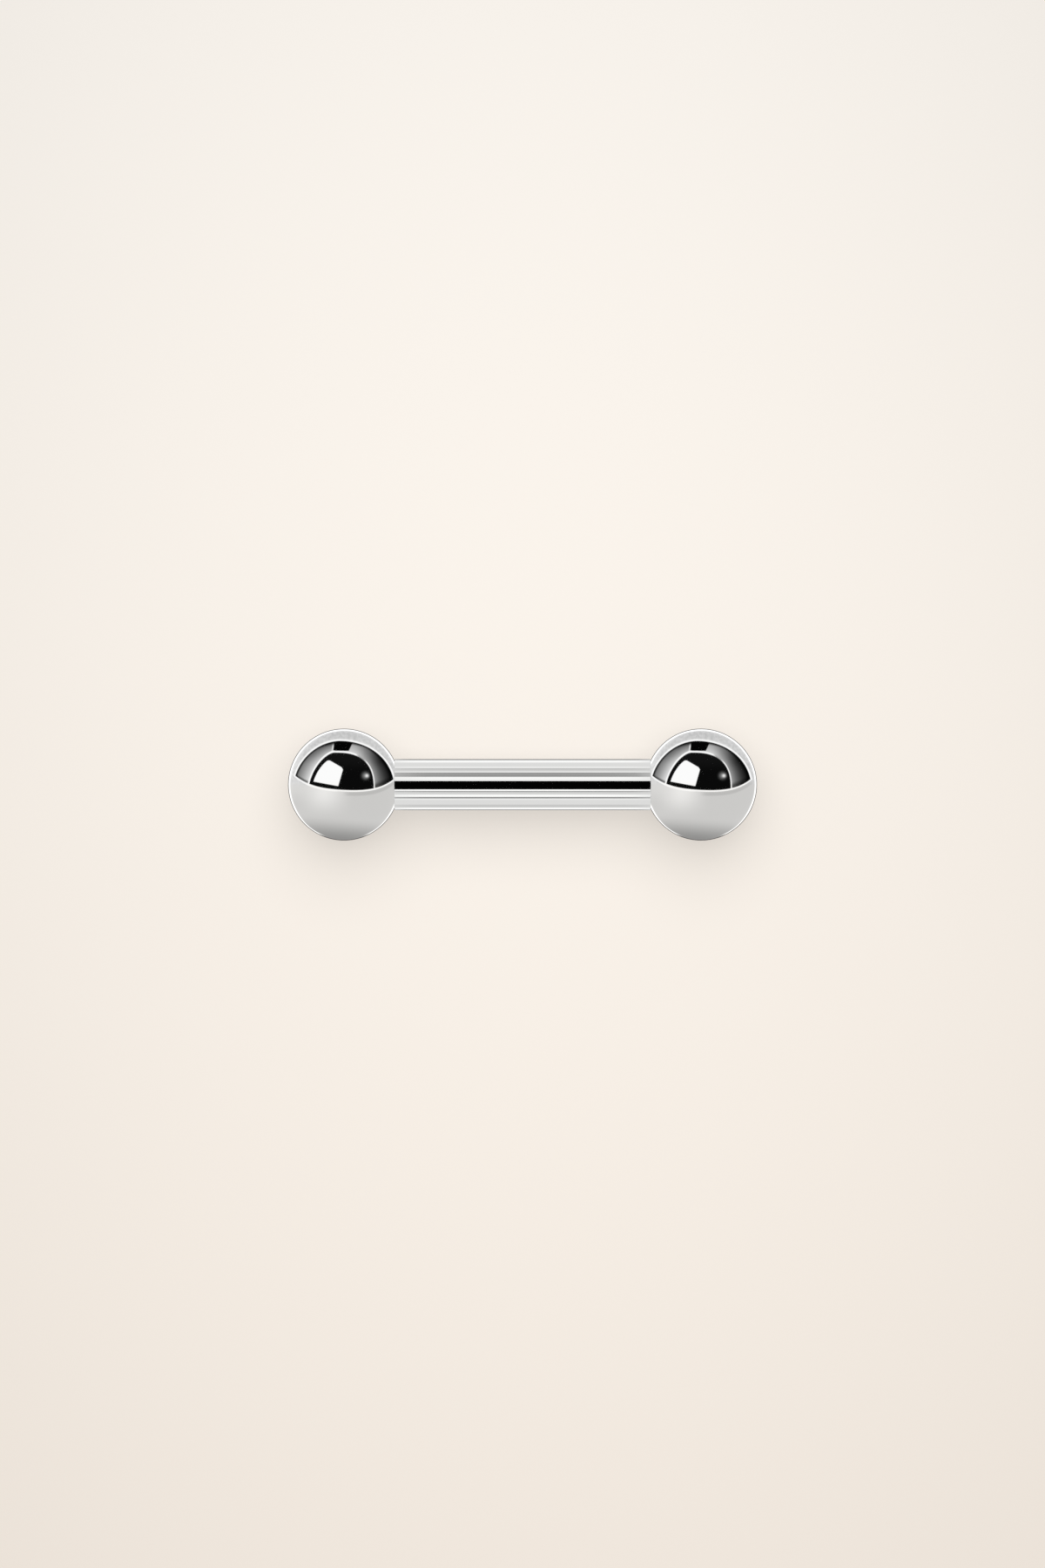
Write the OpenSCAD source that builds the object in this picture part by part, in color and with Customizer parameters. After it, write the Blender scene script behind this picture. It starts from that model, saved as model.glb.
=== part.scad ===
// Straight barbell for a piercing: a round steel bar with a ball screwed into each end.
// The bar lies along X, its middle is the origin, and Z is up.

/* [Bar] */
// Diameter of the bar: 14 gauge
bar_d = 1.6; // [1.6:0.1:2.4]
// Length of the bar between its two end faces
bar_l = 8; // [7:1:16]
// Edge break round each end face
bar_chamfer = 0.03; // [0.02:0.01:0.08]

/* [Balls] */
// Diameter of each ball
ball_d = 3.5; // [3:0.5:6]
// Gap between a tightened ball's flat and the bar's end face
seat_gap = 0.02; // [0.01:0.01:0.05]

/* [Screw thread] */
// Outer diameter of the screw post on each ball
thread_d = 1.2; // [0.9:0.1:1.2]
// Distance from one turn of the thread to the next
thread_pitch = 0.25; // [0.2:0.05:0.3]
// Turns of thread on each post
thread_turns = 8; // [4:1:8]
// Plain neck between the ball's flat and the first turn
neck_l = 0.15; // [0.1:0.05:0.2]
// Radial clearance between the post and its bore
thread_clearance = 0.04; // [0.02:0.01:0.08]
// Space left between the tip of a tightened post and the end of the bore's wall
bore_spare = 0.2; // [0.1:0.05:0.25]
// Countersink round the mouth of each bore
bore_chamfer = 0.05; // [0.03:0.01:0.08]

/* [Hidden] */

steel = [0.80, 0.80, 0.79];
sides = 96;

bar_r = bar_d / 2;
ball_r = ball_d / 2;

// The flat on a ball is as wide as the bar, so its edge meets the bar's side.
flat_to_centre = sqrt(ball_r * ball_r - bar_r * bar_r);

// Metric thread form: 60 degree flanks, flat crests and flat roots.
thread_r = thread_d / 2;
thread_depth = 0.6134 * thread_pitch;
core_r = thread_r - thread_depth;
crest_w = thread_pitch / 8;
flank_w = thread_depth * tan(30);
tip_l = 0.1;
post_l = neck_l + thread_turns * thread_pitch + tip_l;

// Blind bore in each end of the bar, with the cone that its drill leaves.
bore_r = thread_r + thread_clearance;
bore_l = post_l + bore_spare;
drill_point_angle = 118;
drill_point_l = bore_r / tan(drill_point_angle / 2);

// Places a child at an end of the bar: its Z axis points outwards from the end face.
module at_end(side) {
    mirror([side < 0 ? 1 : 0, 0, 0])
        translate([bar_l / 2, 0, 0])
            rotate([0, 90, 0])
                children();
}

// Bar before it is drilled, standing on its middle, with both edges broken.
module bar_blank() {
    end = bar_l / 2;
    rotate_extrude($fn = sides)
        polygon([
            [0, -end],
            [bar_r - bar_chamfer, -end],
            [bar_r, bar_chamfer - end],
            [bar_r, end - bar_chamfer],
            [bar_r - bar_chamfer, end],
            [0, end]
        ]);
}

// What the drill and the countersink take out of one end of the bar.
module drilled_hole() {
    past_face = 0.1;
    rotate_extrude($fn = sides)
        polygon([
            [0, -bore_l - drill_point_l],
            [bore_r, -bore_l],
            [bore_r, -bore_chamfer],
            [bore_r + bore_chamfer, 0],
            [bore_r + bore_chamfer, past_face],
            [0, past_face]
        ]);
}

// Outline of one turn of the thread, from its root on the side away from the ball.
function turn_outline(z) = [
    [core_r, z],
    [thread_r, z + flank_w],
    [thread_r, z + flank_w + crest_w],
    [core_r, z + 2 * flank_w + crest_w]
];

// Screw post below a ball's flat: a neck, the turns of thread as rings, and a pointed tip.
// Its root reaches a little into the ball, so that the two are one solid.
module screw_post() {
    root = 0.3;
    first_turn = -post_l + tip_l;
    turns = [for (i = [0 : thread_turns - 1]) each turn_outline(first_turn + i * thread_pitch)];
    translate([0, 0, seat_gap])
        rotate_extrude($fn = sides)
            polygon(concat(
                [[0, -post_l], [core_r - tip_l, -post_l]],
                turns,
                [[core_r, root], [0, root]]
            ));
}

// Ball with a flat that seats on the bar's end face, and the screw post that holds it there.
module screw_ball() {
    difference() {
        translate([0, 0, seat_gap + flat_to_centre])
            sphere(d = ball_d, $fn = sides);
        translate([0, 0, seat_gap - ball_d])
            cylinder(d = 2 * ball_d, h = ball_d, $fn = sides);
    }
    screw_post();
}

module bar() {
    color(steel)
        difference() {
            rotate([0, 90, 0]) bar_blank();
            at_end(-1) drilled_hole();
            at_end(1) drilled_hole();
        }
}

module ball_left() {
    color(steel) at_end(-1) screw_ball();
}

module ball_right() {
    color(steel) at_end(1) screw_ball();
}

bar();
ball_left();
ball_right();
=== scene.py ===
"""Looks of the straight barbell: its steel pieces, turned and threaded, on a pale table,
and the studio that the steel mirrors.

Lengths are in metres. The bar lies along X, and the camera looks straight down at it,
with +Y up in its picture.
"""

import math

import bmesh
import bpy
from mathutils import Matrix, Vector


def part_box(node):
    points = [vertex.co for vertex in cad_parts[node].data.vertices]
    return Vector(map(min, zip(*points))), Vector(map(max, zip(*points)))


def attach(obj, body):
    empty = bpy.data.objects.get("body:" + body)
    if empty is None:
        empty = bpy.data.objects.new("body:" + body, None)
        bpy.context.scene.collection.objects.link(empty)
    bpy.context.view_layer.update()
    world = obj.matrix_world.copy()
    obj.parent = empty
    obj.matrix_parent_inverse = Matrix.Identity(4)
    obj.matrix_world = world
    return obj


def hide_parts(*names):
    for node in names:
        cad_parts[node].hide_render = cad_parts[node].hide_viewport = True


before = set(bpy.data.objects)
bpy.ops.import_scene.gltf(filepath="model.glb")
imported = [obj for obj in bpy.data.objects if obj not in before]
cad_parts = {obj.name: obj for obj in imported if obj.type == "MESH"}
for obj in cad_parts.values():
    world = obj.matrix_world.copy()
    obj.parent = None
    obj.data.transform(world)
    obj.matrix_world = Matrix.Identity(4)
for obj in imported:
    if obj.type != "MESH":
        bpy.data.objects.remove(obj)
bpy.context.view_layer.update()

MM = 0.001

# Sizes that the frame gives
bar_low, bar_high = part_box("bar")
ball_low, ball_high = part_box("ball_right")
BAR_R = (bar_high.y - bar_low.y) / 2
BAR_END = bar_high.x
BALL_R = (ball_high.y - ball_low.y) / 2
BALL_CENTRE = ball_high.x - BALL_R
FLAT = BALL_CENTRE - math.sqrt(BALL_R**2 - BAR_R**2)
POST_TIP = ball_low.x
TABLE_Z = ball_low.z

# Screw thread and bore, as in the CAD
THREAD_PITCH = 0.25 * MM
THREAD_R = 0.6 * MM
DEPTH_PER_PITCH = 0.6134
THREAD_DEPTH = DEPTH_PER_PITCH * THREAD_PITCH
CORE_R = THREAD_R - THREAD_DEPTH
NECK_L = 0.15 * MM
TIP_L = 0.1 * MM
BORE_CLEARANCE = 0.04 * MM
BORE_R = THREAD_R + BORE_CLEARANCE
BORE_SPARE_L = 0.2 * MM
BORE_BOTTOM = POST_TIP - BORE_SPARE_L - (FLAT - BAR_END)
BORE_CHAMFER = 0.05 * MM
DRILL_POINT_ANGLE = 118
DRILL_POINT_L = BORE_R / math.tan(math.radians(DRILL_POINT_ANGLE / 2))
GROOVE_DEPTH = 0.06 * MM

# Ends of the thread's flanks, in turns from the middle of its crest
CREST_END = 0.125
ROOT_START = 0.375

# Fine edges, and how finely the pieces are turned
SEAM_W = 0.004 * MM
BAR_EDGE_R = 0.012 * MM
BALL_EDGE_R = 0.006 * MM
COLUMNS = 192
BALL_ROWS = 112
EDGE_ROWS = 6
TURN_ROWS = 8
SHARP_ANGLE = math.radians(35)
MERGE_DISTANCE = 2e-8


# Turned pieces


class Row:
    """One ring of a turned piece: where it is along X, its radius, and its finish.
    A thread's row climbs one pitch round the piece, between the ends that hold it,
    and its radius is its share of the thread's height."""

    def __init__(self, x, radius, finish, thread=None):
        self.x, self.radius, self.finish, self.thread = x, radius, finish, thread

    def point(self, turn):
        x, radius = self.x, self.radius
        if self.thread:
            x, radius = self.thread.point(self, turn)
        angle = 2 * math.pi * turn
        return Vector((x, radius * math.cos(angle), radius * math.sin(angle)))


class Thread:
    """A screw thread between two places on X, as a ridge of a given height on a plain radius."""

    def __init__(self, start, end, radius, height, finish):
        self.start, self.end, self.finish = start, end, finish
        self.radius, self.height = radius, height

    def rows(self):
        """The rows that follow the helix. Those that reach past an end are folded into it,
        and merged later."""
        low, high = sorted((self.start, self.end))
        first = math.floor(low / THREAD_PITCH) * TURN_ROWS - TURN_ROWS
        last = math.ceil(high / THREAD_PITCH) * TURN_ROWS
        step = THREAD_PITCH / TURN_ROWS
        rows = []
        for i in range(first, last + 1):
            height = thread_form(i % TURN_ROWS / TURN_ROWS)
            rows.append(Row(i * step, height, self.finish, self))
        return rows if self.start < self.end else rows[::-1]

    def point(self, row, turn):
        low, high = sorted((self.start, self.end))
        x = min(max(row.x + THREAD_PITCH * turn, low), high)
        fade = min(1, (x - low) / THREAD_PITCH, (high - x) / THREAD_PITCH)
        return x, self.radius + self.height * row.radius * fade


def thread_form(phase):
    """Height of the thread over one turn, from 0 at its root to 1 at its crest:
    straight flanks, with narrow flats between them."""
    from_crest = abs(phase - 0.5)
    return min(1, max(0, (ROOT_START - from_crest) / (ROOT_START - CREST_END)))


def arc(centre_x, centre_r, radius, start, end, rows, finish):
    """Rows along an arc, whose angles are from +X towards the outside."""
    angles = [start + (end - start) * i / rows for i in range(rows + 1)]
    return [
        Row(centre_x + radius * math.cos(angle), centre_r + radius * math.sin(angle), finish)
        for angle in angles
    ]


def straight(start, end, finish, hold):
    """Rows along a straight stretch. One close to each end keeps it flat in smooth shading."""
    run = math.dist(start, end)
    return [
        Row(*(a + (b - a) * share for a, b in zip(start, end)), finish)
        for share in (0, hold / run, 1 - hold / run, 1)
    ]


def turned(name, rows, body, node):
    """A piece from its rows, in place of a CAD node and riding on a body."""
    mesh = bpy.data.meshes.new(name)
    bm = bmesh.new()
    grid = [[bm.verts.new(row.point(i / COLUMNS)) for i in range(COLUMNS + 1)] for row in rows]
    finishes = list(STEELS)
    for a, b, row in zip(grid, grid[1:], rows[1:]):
        for i in range(COLUMNS):
            face = bm.faces.new((a[i], a[i + 1], b[i + 1], b[i]))
            face.smooth = True
            face.material_index = finishes.index(row.finish)
    bmesh.ops.remove_doubles(bm, verts=bm.verts, dist=MERGE_DISTANCE)
    bmesh.ops.recalc_face_normals(bm, faces=bm.faces)
    for edge in bm.edges:
        edge.smooth = edge.calc_face_angle(0) < SHARP_ANGLE
    bm.to_mesh(mesh)
    bm.free()
    for material in STEELS.values():
        mesh.materials.append(material)
    piece = bpy.data.objects.new(name, mesh)
    bpy.context.scene.collection.objects.link(piece)
    piece.visible_glossy = False
    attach(piece, body)
    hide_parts(node)
    return piece


def ball_rows():
    """The right ball, from the tip of its post to its far side. Its flat lies a hair from
    the bar's end."""
    flat_x = BAR_END + SEAM_W
    edge_x = flat_x + BALL_EDGE_R
    edge_centre_r = math.sqrt((BALL_R - BALL_EDGE_R) ** 2 - (BALL_CENTRE - edge_x) ** 2)
    to_edge = math.pi - math.atan2(edge_centre_r, BALL_CENTRE - edge_x)
    thread = Thread(POST_TIP + TIP_L, FLAT - NECK_L, CORE_R, THREAD_DEPTH, "threaded")
    return [
        Row(POST_TIP, 0, "threaded"),
        Row(POST_TIP, CORE_R - TIP_L, "threaded"),
        *thread.rows(),
        Row(flat_x, CORE_R, "threaded"),
        *straight((flat_x, CORE_R), (flat_x, edge_centre_r), "machined", BALL_EDGE_R / 2),
        *arc(edge_x, edge_centre_r, BALL_EDGE_R, math.pi, to_edge, EDGE_ROWS, "edge"),
        *arc(BALL_CENTRE, 0, BALL_R, to_edge, 0, BALL_ROWS, "polished"),
    ]


def bar_end_rows(side):
    """One end of the bar, from the bottom of its bore outwards. side is -1 for the left end
    and 1 for the right."""
    thread_start = side * (BORE_BOTTOM + THREAD_PITCH)
    thread_end = side * (BAR_END - BORE_CHAMFER)
    thread = Thread(thread_start, thread_end, BORE_R, GROOVE_DEPTH, "bored")
    face_x = side * BAR_END
    face_r = BAR_R - BAR_EDGE_R
    face = straight((face_x, BORE_R + BORE_CHAMFER), (face_x, face_r), "machined", BAR_EDGE_R / 2)
    edge_x = side * (BAR_END - BAR_EDGE_R)
    edge_start = 0 if side > 0 else math.pi
    return [
        Row(side * (BORE_BOTTOM - DRILL_POINT_L), 0, "bored"),
        Row(side * BORE_BOTTOM, BORE_R, "bored"),
        *thread.rows(),
        *face,
        *arc(edge_x, face_r, BAR_EDGE_R, edge_start, math.pi / 2, EDGE_ROWS, "edge"),
    ]


def bar_rows():
    """The bar, from the bottom of its left bore, over its outside, to that of its right bore."""
    edge_x = BAR_END - BAR_EDGE_R
    middle = straight((-edge_x, BAR_R), (edge_x, BAR_R), "polished", BAR_EDGE_R)
    return [*bar_end_rows(-1), *middle, *bar_end_rows(1)[::-1]]


# Patterns as formulas


class Field:
    """A number that varies over a surface. Sums, products and the rest add Math nodes
    to its node tree."""

    def __init__(self, tree, socket):
        self.tree, self.socket = tree, socket

    def _math(self, operation, *others):
        node = self.tree.nodes.new("ShaderNodeMath")
        node.operation = operation
        for socket, value in zip(node.inputs, (self, *others)):
            if isinstance(value, Field):
                self.tree.links.new(value.socket, socket)
            else:
                socket.default_value = value
        return Field(self.tree, node.outputs[0])

    def __add__(self, other):
        return self._math("ADD", other)

    def __sub__(self, other):
        return self._math("SUBTRACT", other)

    def __mul__(self, other):
        return self._math("MULTIPLY", other)

    def __truediv__(self, other):
        return self._math("DIVIDE", other)

    def __pow__(self, other):
        return self._math("POWER", other)

    def __neg__(self):
        return self * -1

    def __abs__(self):
        return self._math("ABSOLUTE")

    def __rsub__(self, other):
        return -self + other

    __radd__ = __add__
    __rmul__ = __mul__

    def least(self, other):
        return self._math("MINIMUM", other)

    def most(self, other):
        return self._math("MAXIMUM", other)

    def exponential(self):
        return self._math("EXPONENT")

    def angle_from(self, other):
        return self._math("ARCTAN2", other)

    def rise(self, low, high):
        """0 below low and 1 above high, with a smooth rise between."""
        node = self.tree.nodes.new("ShaderNodeMapRange")
        node.interpolation_type = "SMOOTHSTEP"
        self.tree.links.new(self.socket, node.inputs["Value"])
        node.inputs["From Min"].default_value = low
        node.inputs["From Max"].default_value = high
        return Field(self.tree, node.outputs["Result"])

    def past(self, edge, softness):
        """0 before an edge and 1 past it."""
        return (self - edge).rise(-softness / 2, softness / 2)

    def between(self, low, high, softness):
        """1 between two edges and 0 outside them."""
        return self.past(low, softness) * (1 - self.past(high, softness))


def covered(under, over, share):
    """One field or number, covered by another where share is 1."""
    return under + (over - under) * share


def length(*fields):
    return sum(f * f for f in fields) ** 0.5


def noise(tree, place, scale, detail=2.0):
    """A noise texture's value, about 0.5 on average, with scale bumps to a unit of place."""
    node = tree.nodes.new("ShaderNodeTexNoise")
    tree.links.new(place, node.inputs["Vector"])
    node.inputs["Scale"].default_value = scale
    node.inputs["Detail"].default_value = detail
    return Field(tree, node.outputs[0])


def object_coordinates(tree):
    return tree.nodes.new("ShaderNodeTexCoord").outputs["Object"]


def squeezed_across_x(tree, place, squeeze):
    """Coordinates that change so many times as fast across X as along it."""
    node = tree.nodes.new("ShaderNodeMapping")
    tree.links.new(place, node.inputs["Vector"])
    node.inputs["Scale"].default_value = (1, squeeze, squeeze)
    return node.outputs["Vector"]


def axes(tree, vector):
    node = tree.nodes.new("ShaderNodeSeparateXYZ")
    tree.links.new(vector, node.inputs[0])
    return [Field(tree, output) for output in node.outputs]


def flat_vector(tree, x, y):
    node = tree.nodes.new("ShaderNodeCombineXYZ")
    tree.links.new(x.socket, node.inputs["X"])
    tree.links.new(y.socket, node.inputs["Y"])
    return node.outputs[0]


def vector_math(tree, operation, vector):
    """A Vector Math node with its first input linked."""
    node = tree.nodes.new("ShaderNodeVectorMath")
    node.operation = operation
    tree.links.new(vector, node.inputs[0])
    return node


def colour(tree, red, green, blue):
    node = tree.nodes.new("ShaderNodeCombineColor")
    for socket, value in zip(node.inputs, (red, green, blue)):
        tree.links.new(value.socket, socket)
    return node.outputs[0]


# Steel

STEEL = (0.80, 0.80, 0.79)
TONE_CHANGE = 0.03
TONE_SCALE = 700
SMUDGE_SCALE = 1500
UNEVENNESS_SCALE = 900
HAIRLINE_SCALE = 4000
HAIRLINE_SQUEEZE = 12
HAIRLINE_HEIGHT = 0.04
TURNING_SCALE = 60000
TURNING_SQUEEZE = 0.02

# The light that gets into the bores and the threads
BORE_LIGHT = 0.1
BORE_DARK_DEPTH = 0.9 * MM
ROOT_LIGHT = 0.35
CREST_LIGHT = 0.95


def steel(name, roughness, roughness_change, bump_distance, marks, shade=None):
    """Steel whose tone, gloss and surface vary a little. marks is the noise that its surface
    follows, and shade is how much light gets to each place."""
    material = bpy.data.materials.new(name)
    material.use_nodes = True
    tree = material.node_tree
    shader = tree.nodes["Principled BSDF"]
    shader.inputs["Metallic"].default_value = 1
    place = object_coordinates(tree)

    tone = noise(tree, place, TONE_SCALE) * TONE_CHANGE + (1 - TONE_CHANGE / 2)
    # Painted shade: where shade is given, the tone darkens where less light reaches, deep in the
    # bores and at the thread's roots
    if shade:
        tone = tone * shade(tree, place)
    tree.links.new(colour(tree, *(tone * part for part in STEEL)), shader.inputs["Base Color"])

    smudges = noise(tree, place, SMUDGE_SCALE, 4.0)
    gloss = smudges * roughness_change + (roughness - roughness_change / 2)
    tree.links.new(gloss.socket, shader.inputs["Roughness"])

    bump = tree.nodes.new("ShaderNodeBump")
    bump.inputs["Strength"].default_value = 1
    bump.inputs["Distance"].default_value = bump_distance
    tree.links.new(marks(tree, place).socket, bump.inputs["Height"])
    tree.links.new(bump.outputs["Normal"], shader.inputs["Normal"])
    return material


def polishing_marks(tree, place):
    """Hairlines that a buffing wheel leaves, and the faint unevenness under them."""
    hairlines = noise(tree, squeezed_across_x(tree, place, HAIRLINE_SQUEEZE), HAIRLINE_SCALE, 4.0)
    return hairlines * HAIRLINE_HEIGHT + noise(tree, place, UNEVENNESS_SCALE)


def turning_marks(tree, place):
    """Rings that the lathe's tool leaves along X."""
    return noise(tree, squeezed_across_x(tree, place, TURNING_SQUEEZE), TURNING_SCALE, 3.0)


def in_the_bore(tree, place):
    """Less light the deeper a place lies below the bar's end face."""
    x, _, _ = axes(tree, place)
    return covered(1, BORE_LIGHT, (BAR_END - abs(x)).rise(0, BORE_DARK_DEPTH))


def in_the_thread(tree, place):
    """Less light at the roots of the post's thread than on its crests."""
    _, y, z = axes(tree, place)
    return covered(ROOT_LIGHT, CREST_LIGHT, length(y, z).rise(CORE_R, THREAD_R))


# Studio


def stage(name, mesh):
    """A thing of the studio, which is no part of the object."""
    thing = bpy.data.objects.new(name, mesh)
    bpy.context.scene.collection.objects.link(thing)
    return thing


def plain_material(name):
    """A material with nothing but its output, and that output's Surface socket."""
    material = bpy.data.materials.new(name)
    material.use_nodes = True
    tree = material.node_tree
    tree.nodes.clear()
    return material, tree, tree.nodes.new("ShaderNodeOutputMaterial").inputs["Surface"]


def added(tree, first, second):
    node = tree.nodes.new("ShaderNodeAddShader")
    tree.links.new(first, node.inputs[0])
    tree.links.new(second, node.inputs[1])
    return node.outputs[0]


def emission(tree, tint, strength):
    node = tree.nodes.new("ShaderNodeEmission")
    tree.links.new(tint, node.inputs["Color"])
    node.inputs["Strength"].default_value = strength
    return node.outputs[0]


def transparent(tree):
    return tree.nodes.new("ShaderNodeBsdfTransparent").outputs[0]


# Table: its size, its light, and the green and blue in its cream as shares of the red
TABLE_SIZE = 1.2
TABLE_GLOW = 0.62
TABLE_ALBEDO = 0.09
TABLE_LIGHT_Y = 7.3 * MM
TABLE_LIGHT_SIZE = (16.4 * MM, 24.6 * MM)
TABLE_PEAK = 0.955
TABLE_FALL = 0.073
TABLE_FALL_END = 3.2
TABLE_TINT = (0.938, 0.868)
TABLE_TINT_CHANGE = (0.018, 0.032)
TABLE_TINT_SIZE = 24.6 * MM


def table_colour(tree):
    """Cream, with a painted pool of light brightest a little above the object, and warmer towards
    the bottom of the picture.
    """
    x, y, _ = axes(tree, object_coordinates(tree))
    across = x / TABLE_LIGHT_SIZE[0]
    along = (y - TABLE_LIGHT_Y) / TABLE_LIGHT_SIZE[1]
    away = across * across + along * along
    fall = (1 - (away / -TABLE_FALL_END).exponential()) * TABLE_FALL_END
    red = TABLE_PEAK - fall * (TABLE_PEAK * TABLE_FALL)
    side = (y / TABLE_TINT_SIZE).most(-1).least(1)
    tints = (side * change + share for share, change in zip(TABLE_TINT, TABLE_TINT_CHANGE))
    return colour(tree, red, *(red * tint for tint in tints))


def make_table():
    """A table that glows and takes the key light's shadows, and can't be seen from below."""
    mesh = bpy.data.meshes.new("table")
    half = TABLE_SIZE / 2
    corners = [(-half, -half, 0), (half, -half, 0), (half, half, 0), (-half, half, 0)]
    mesh.from_pydata(corners, [], [(0, 1, 2, 3)])
    material, tree, surface = plain_material("pale_table")
    cream = table_colour(tree)
    dimmed = vector_math(tree, "SCALE", cream)
    dimmed.inputs["Scale"].default_value = TABLE_ALBEDO
    diffuse = tree.nodes.new("ShaderNodeBsdfDiffuse")
    tree.links.new(dimmed.outputs[0], diffuse.inputs["Color"])
    top = added(tree, emission(tree, cream, TABLE_GLOW), diffuse.outputs[0])
    seen_from_below = tree.nodes.new("ShaderNodeNewGeometry").outputs["Backfacing"]
    mix = tree.nodes.new("ShaderNodeMixShader")
    tree.links.new(seen_from_below, mix.inputs[0])
    tree.links.new(top, mix.inputs[1])
    tree.links.new(transparent(tree), mix.inputs[2])
    tree.links.new(mix.outputs[0], surface)
    mesh.materials.append(material)
    table = stage("table", mesh)
    table.location.z = TABLE_Z
    table.visible_glossy = False


DOME_SEGMENTS = 64


def make_dome(name, radius, pattern, lit):
    """A big dome whose glowing pattern only the given pieces mirror. It lights nothing else,
    and nothing else sees it."""
    mesh = bpy.data.meshes.new(name)
    bm = bmesh.new()
    bmesh.ops.create_uvsphere(
        bm, u_segments=DOME_SEGMENTS, v_segments=DOME_SEGMENTS // 2, radius=radius
    )
    bm.to_mesh(mesh)
    bm.free()
    material, tree, surface = plain_material(name)
    glow = emission(tree, pattern(tree), 1 / STEEL[0])
    tree.links.new(added(tree, glow, transparent(tree)), surface)
    material.cycles.emission_sampling = "NONE"
    mesh.materials.append(material)
    dome = stage(name, mesh)
    dome.visible_camera = False
    dome.visible_diffuse = False
    dome.visible_shadow = False
    dome.visible_transmission = False
    dome.visible_volume_scatter = False
    receivers = bpy.data.collections.new(name + "_receivers")
    for piece in lit:
        receivers.objects.link(piece)
    dome.light_linking.receiver_collection = receivers
    return dome


SCREEN_OFFSET = 0.055
SCREEN_POWER = 2.4


def light_of(grey):
    """The light that a screen shows as a grey, where 0 is black and 1 is white."""
    return ((grey.most(0) + SCREEN_OFFSET) / (1 + SCREEN_OFFSET)) ** SCREEN_POWER


def on_ball(tree):
    """Where a ball seen from above mirrors each direction of a dome, in ball radii:
    u to the right and v up."""
    direction = vector_math(tree, "NORMALIZE", object_coordinates(tree))
    halfway = vector_math(tree, "ADD", direction.outputs[0])
    halfway.inputs[1].default_value = (0, 0, 1)
    normal = vector_math(tree, "NORMALIZE", halfway.outputs[0])
    u, v, _ = axes(tree, normal.outputs[0])
    return u, v


def arch(u, v, middle, radii, powers, height):
    """Roughly how far outside an arch a place is. Its left and right halves have a radius each,
    and a power each that says how square they are."""
    across = u - middle[0]
    right = across.past(0, TINY)
    radius = covered(radii[0], radii[1], right)
    power = covered(powers[0], powers[1], right)
    up = (v - middle[1]).most(0) / height
    away = ((abs(across) / radius) ** power + up ** power) ** (power ** -1)
    return (away - 1) * (radius + height) * 0.5


def side_of(u, v, start, end):
    """Distance to the left of the line from start to end."""
    du, dv = end[0] - start[0], end[1] - start[1]
    run = math.hypot(du, dv)
    return (v - start[1]) * (du / run) - (u - start[0]) * (dv / run)


# What the balls mirror: places in ball radii from a ball's middle, and greys from 0 to 1
BALL_FIT = 0.9955
EDGE = 0.014
TINY = 0.001
ROOM = {"middle": (-0.07, -0.061), "radii": (0.827, 0.962), "powers": (1.9, 2.045), "height": 0.8345}
ALCOVE = {"middle": (-0.167, -0.1), "radii": (0.46, 0.69), "powers": (1.64, 2.65), "height": 0.662}
ALCOVE_SPREAD = 0.004
PALE_GREY = 0.795
GRAIN = 0.22
GRAIN_SCALE = 18
BORDER_W = 0.03
BORDER_GREY = 0.985
RING_START = 0.955
RING_GREY = 1.04
# The dark rim is a painted shadow: the table straight below a ball, in the ball's own shadow
RIM = (0.98, 0.99)
RIM_GREY = 0.2
DOORWAY_LEFT = ((-0.19, 0.6), (-0.17, 0.76))
DOORWAY_RIGHT = ((0.084, 0.6), (0.162, 0.76))
DOORWAY_FOOT = 0.6
DOORWAY_GREY = 0.01
JAMB_W = 0.03
JAMB_GREY = 0.85
TRIM_W = 0.038
WINDOW_CORNERS = (
    (-0.535, 0.045),
    (-0.096, -0.037),
    (-0.01, 0.265),
    (-0.034, 0.311),
    (-0.25, 0.437),
    (-0.34, 0.43),
)
WINDOW_FROM_ALCOVE = 0.069
WINDOW_INSET = 0.007
WINDOW_GREY = 0.985
# The two parts of the lamp's glow: the middle, radius and brightness of each
LAMP = (((0.382, 0.158), 0.115, 0.52), ((0.412, 0.158), 0.058, 0.44))
# The height of the table's far edge, as the factors of a polynomial, from u to the 4th down
TABLE_EDGE = (0.21, 0.01, 0.13, -0.05, -0.093)
# The green and the blue as shares of the red
WALL_TINT = (1, 1.01)
BELOW_TINT = (0.99, 0.98)


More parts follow.
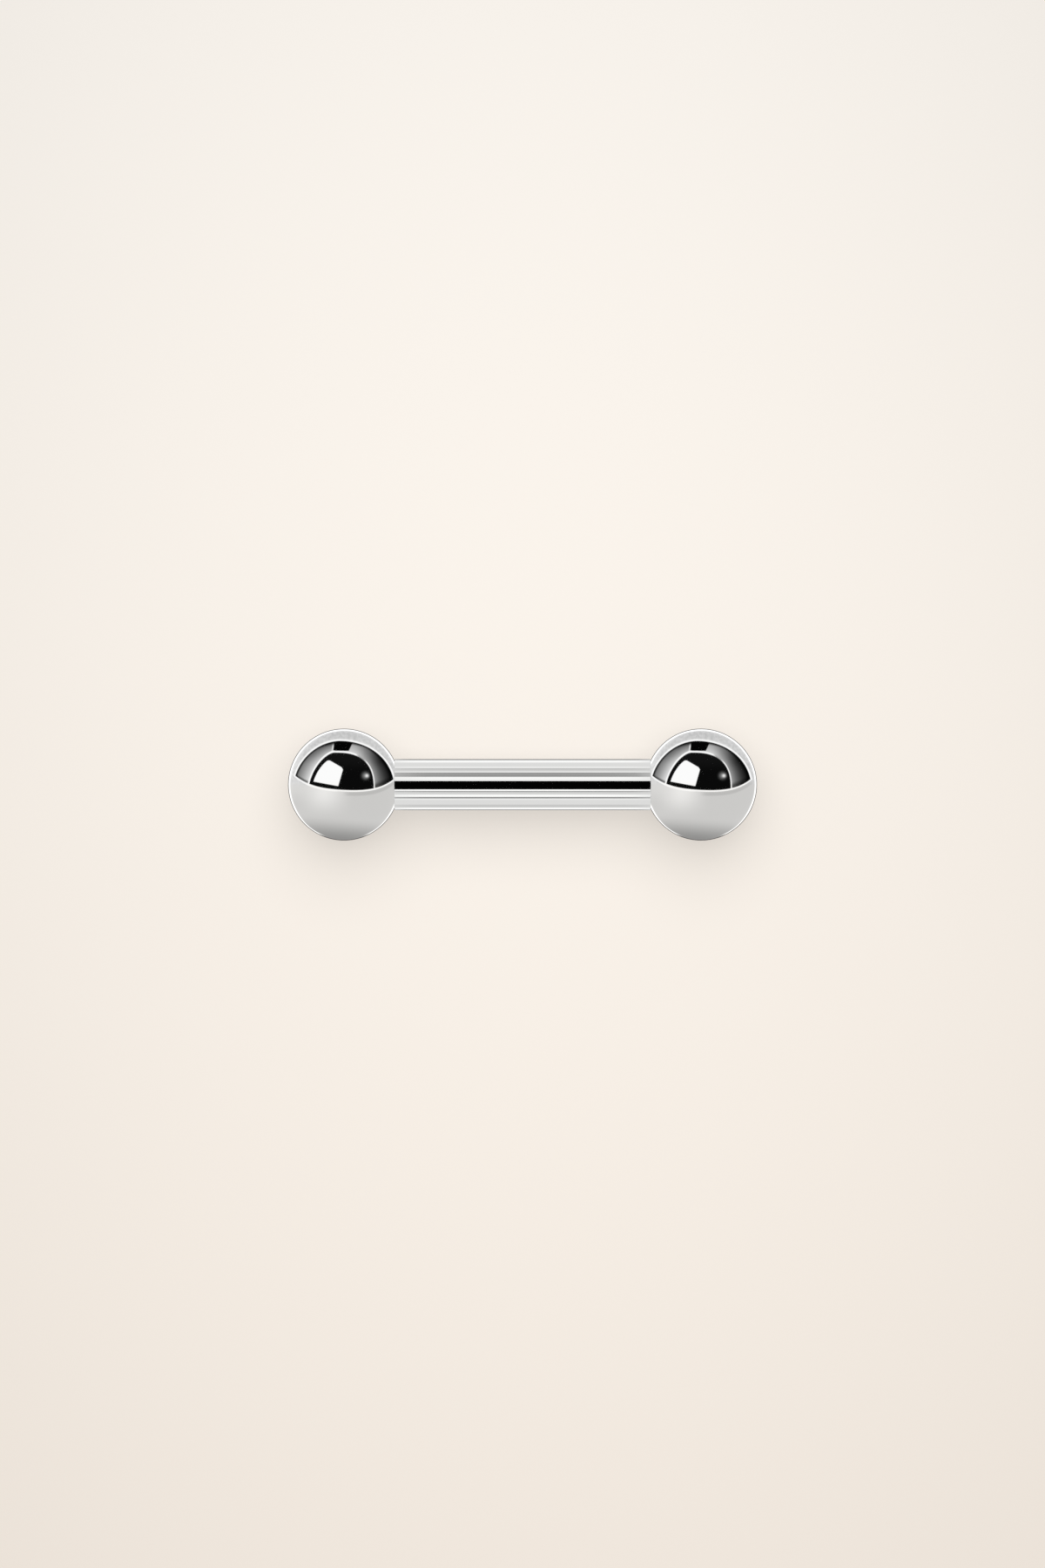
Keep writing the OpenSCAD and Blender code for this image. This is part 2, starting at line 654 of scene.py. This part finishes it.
def pale_surround(u, v, outside, below, grain):
    """The wall and the table round the dark room, with the room's bright border, a bright
    ring inside the ball's rim, and the dark rim, a painted shadow of the ball on the table
    straight below it. outside is the distance from the room, and below is 1 on the table."""
    distance = length(u, v)
    left_glow = 0.05 * (-u).rise(0.5, 0.9) * v.rise(-0.4, 0)
    top_shade = 0.03 * v.rise(0.75, 0.95)
    rim_glow = 0.04 * distance.rise(0.9, 0.955) * v.rise(-0.2, 0.5)
    mottling = (grain - 0.5) * GRAIN * (1 - below)
    window_glow = 0.12 * (1 - abs(u + 0.35).rise(0, 0.55)) * v.rise(-0.65, -0.12) * below
    low_shade = 0.27 * (-v - u * 0.08).rise(0.58, 1.06)
    right_shade = 0.06 * u.rise(-0.05, 0.1) * below * outside.between(0.035, 0.1, 0.03)
    arch_glow = 0.09 * v.rise(0.55, 0.7) * (1 - outside.rise(0.02, 0.07))
    glow = left_glow + rim_glow + window_glow + arch_glow
    grey = PALE_GREY + glow + mottling - top_shade - low_shade - right_shade
    border_w = BORDER_W + 0.01 * (-u).rise(0.05, 0.2) * below
    grey = covered(grey, BORDER_GREY, 1 - outside.past(border_w, EDGE))
    ring_start = RING_START + 0.014 * (-v).rise(0.4, 0.8)
    ring = distance.past(ring_start, EDGE) * (1 - (-v).rise(0.86, 0.93))
    grey = covered(grey, RING_GREY, ring)
    return covered(grey, RIM_GREY, distance.rise(*RIM))


def curtains(u, v, share, above):
    """Two curved curtains, from the wall, where share is 0, to the alcove, where it is 1.
    They darken towards the wall and towards the table's edge, which they are above."""
    left = 0.31 + 0.55 * share + 0.1 * (-u).rise(0.2, 0.8) - 0.04 * v.rise(0.35, 0.55)
    low_right = 0.03 + share * (0.35 + 0.3 * share)
    high_right = 0.46 + 0.25 * share
    right = covered(low_right, high_right, v.angle_from(u).rise(0.52, 1.15))
    right = right + 0.14 * (1 - u.rise(0.15, 0.4))
    by_doorway = 1 - abs(u + 0.03).rise(0.15, 0.45)
    doorway_shadow_w = (0.2 - 0.1 * u.rise(0, 0.15)) * by_doorway
    wall_shadow_w = 0.2 + 0.05 * (u.rise(0.35, 0.6) - (-u).rise(0.35, 0.6)) + doorway_shadow_w
    wall_light = covered(0.12, 1, (share / wall_shadow_w).rise(0, 1))
    foot_shadow_w = 0.06 + 0.06 * u.rise(0.4, 0.6)
    foot_light = covered(0.5, 1, (above / foot_shadow_w).rise(0.17, 1))
    return covered(left, right, u.past(0, 0.1)) * wall_light * foot_light


def with_doorway(grey, u, v, share):
    """A black doorway at the top of the curtains, with a bright jamb on its left."""
    above_foot = v.past(DOORWAY_FOOT, EDGE)
    from_left = -side_of(u, v, *DOORWAY_LEFT)
    from_right = side_of(u, v, *DOORWAY_RIGHT)
    jamb = from_left.between(-JAMB_W, 0, EDGE) * above_foot
    grey = covered(grey, JAMB_GREY, jamb * share.rise(0.1, 0.5))
    doorway = from_left.past(0, EDGE) * from_right.past(0, EDGE) * above_foot
    return covered(grey, DOORWAY_GREY, doorway)


def with_alcove(grey, u, v, alcove):
    """A black alcove in a bright trim, with a window and a lamp."""
    trim_w = TRIM_W - 0.013 * u.rise(0.1, 0.4)
    trim_grey = 0.98 - 0.32 * u.rise(0.2, 0.28) + 0.3 * u.rise(0.34, 0.42)
    grey = covered(grey, trim_grey, 1 - alcove.past(trim_w, EDGE))
    alcove_grey = 0.04 + 0.03 * v.rise(0.2, 0.45)
    grey = covered(grey, alcove_grey, 1 - alcove.past(ALCOVE_SPREAD, EDGE))
    window = 1 - alcove.past(-WINDOW_FROM_ALCOVE, EDGE)
    for start, end in zip(WINDOW_CORNERS, WINDOW_CORNERS[1:]):
        window = window * side_of(u, v, start, end).past(WINDOW_INSET, EDGE)
    grey = covered(grey, WINDOW_GREY, window)
    for (lamp_u, lamp_v), radius, brightness in LAMP:
        from_lamp = length(u - lamp_u, v - lamp_v)
        grey = grey + brightness * (1 - from_lamp.rise(0, radius))
    return grey


def ball_studio(tree):
    """A bright, cream table below, a dark room above it, and a pale wall round the room."""
    u, v = (place * BALL_FIT for place in on_ball(tree))
    room = arch(u, v, **ROOM)
    alcove = arch(u, v, **ALCOVE)
    table_edge = TABLE_EDGE[0]
    for factor in TABLE_EDGE[1:]:
        table_edge = table_edge * u + factor
    above = v - table_edge
    outside = room.most(-above)
    below = 1 - v.rise(-0.05, 0.1)
    grain = noise(tree, flat_vector(tree, u, v), GRAIN_SCALE, 3.0)
    surround = pale_surround(u, v, outside, below, grain)
    from_wall = (-room).most(0)
    share = from_wall / (from_wall + alcove.most(0)).most(TINY)
    inside = with_doorway(curtains(u, v, share, above), u, v, share)
    inside = with_alcove(inside, u, v, alcove)
    light = light_of(covered(inside, surround, outside.past(0, EDGE)))
    tints = (covered(*tint, below) for tint in zip(WALL_TINT, BELOW_TINT))
    return colour(tree, light, *(light * tint for tint in tints))


# Strips that the bar mirrors: from and to, in degrees from overhead towards +Y, and the grey
BAR_STRIPS = (
    (-21.7, 16, 0.0),
    (17, 34, 0.98),
    (22, 26, 0.93),
    (36, 55, 0.56),
    (43, 47, 0.64),
    (58, 66, 0.88),
    (66, 79, 0.78),
    (75, 79, 0.72),
    (80, 90, 0.92),
    (119, 143, 0.97),
    (148, 180, 0.5),
    (-29, -21.7, 1.0),
    (-34, -29, 0.6),
    (-46, -35, 0.83),
    (-57, -46, 0.99),
    (-65, -58, 0.54),
    (-73, -67, 0.93),
    (-127, -103, 0.78),
    (-149, -127, 0.98),
    (-180, -153, 0.5),
)
STRIP_EDGE = 1.5
BAR_SURROUND = 0.86
BAR_HAZE = 0.6
BAR_HAZE_FROM = 7.4 * MM
BAR_HAZE_TO = 8.6 * MM


def bar_studio(tree):
    """Strips of light and dark that run along the bar, and blur towards its ends.
    The black one stays black."""
    x, y, z = axes(tree, object_coordinates(tree))
    angle = y.angle_from(z) * math.degrees(1)
    grey = BAR_SURROUND
    for start, end, strip_grey in BAR_STRIPS:
        grey = covered(grey, strip_grey, angle.between(start, end, STRIP_EDGE))
    haze = abs(x).rise(BAR_HAZE_FROM, BAR_HAZE_TO) * grey.rise(0, 0.3) * BAR_HAZE
    light = light_of(covered(grey, BAR_SURROUND, haze))
    return colour(tree, light, light, light)


def make_ball_studio(ball, centre_x):
    """A dome of the ball's own, centred on it and turned to the camera, so that both balls
    mirror the same."""
    dome = make_dome(ball.name + "_studio", CAMERA_HEIGHT, ball_studio, [ball])
    dome.location.x = centre_x
    dome.rotation_euler.y = math.atan2(-centre_x, CAMERA_HEIGHT)


KEY_STRENGTH = 11.8
KEY_WIDTH = math.radians(66)
KEY_TILT = math.radians(19)


def make_key():
    """A soft light from the top of the picture, which shadows the table and isn't mirrored."""
    key = bpy.data.lights.new("key", "SUN")
    key.energy = KEY_STRENGTH
    key.angle = KEY_WIDTH
    light = bpy.data.objects.new("key", key)
    bpy.context.scene.collection.objects.link(light)
    light.rotation_euler.x = -KEY_TILT
    light.visible_glossy = False


def make_world():
    """A world of the table's own colour far from the object."""
    world = bpy.data.worlds.new("studio")
    bpy.context.scene.world = world
    world.use_nodes = True
    background = world.node_tree.nodes["Background"]
    far = TABLE_PEAK * (1 - TABLE_FALL * TABLE_FALL_END)
    background.inputs["Color"].default_value = (far, *(far * share for share in TABLE_TINT), 1)
    world.cycles_visibility.glossy = False


# Camera: straight above the bar, its long side along Y

PHOTO_H_PX = 1800
BALL_SPACING_PX = 410
OBJECT_BELOW_MIDDLE_PX = 0.7
LENS_MM = 200
SENSOR_MM = 36
PHOTO_H = PHOTO_H_PX / BALL_SPACING_PX * 2 * BALL_CENTRE
CAMERA_HEIGHT = PHOTO_H * LENS_MM / SENSOR_MM
BAR_DOME_R = 1.1 * CAMERA_HEIGHT
NEAREST_SEEN = 10 * MM


def make_camera():
    camera = bpy.data.cameras.new("camera")
    camera.lens = LENS_MM
    camera.sensor_width = SENSOR_MM
    camera.clip_start = NEAREST_SEEN
    seat = bpy.data.objects.new("camera", camera)
    bpy.context.scene.collection.objects.link(seat)
    seat.location.y = OBJECT_BELOW_MIDDLE_PX / PHOTO_H_PX * PHOTO_H
    seat.location.z = CAMERA_HEIGHT
    bpy.context.scene.camera = seat


STEELS = {
    "polished": steel("mirror_polished_steel", 0.045, 0.03, 0.0004 * MM, polishing_marks),
    "edge": steel("seam_steel", 0.15, 0.06, 0.001 * MM, turning_marks),
    "machined": steel("machined_steel", 0.24, 0.1, 0.004 * MM, turning_marks),
    "threaded": steel("threaded_steel", 0.24, 0.1, 0.004 * MM, turning_marks, in_the_thread),
    "bored": steel("bored_steel", 0.3, 0.1, 0.004 * MM, turning_marks, in_the_bore),
}

ball_right = turned("ball_right_turned", ball_rows(), "ball_right", "ball_right")
ball_left = turned("ball_left_turned", ball_rows(), "ball_left", "ball_left")
# The left ball is the right one turned half round about Z
for vertex in ball_left.data.vertices:
    vertex.co.x, vertex.co.y = -vertex.co.x, -vertex.co.y
bar = turned("bar_turned", bar_rows(), "bar", "bar")

make_table()
make_ball_studio(ball_left, -BALL_CENTRE)
make_ball_studio(ball_right, BALL_CENTRE)
make_dome("bar_studio", BAR_DOME_R, bar_studio, [bar])
make_key()
make_world()
make_camera()
bpy.context.scene.view_settings.view_transform = "Standard"
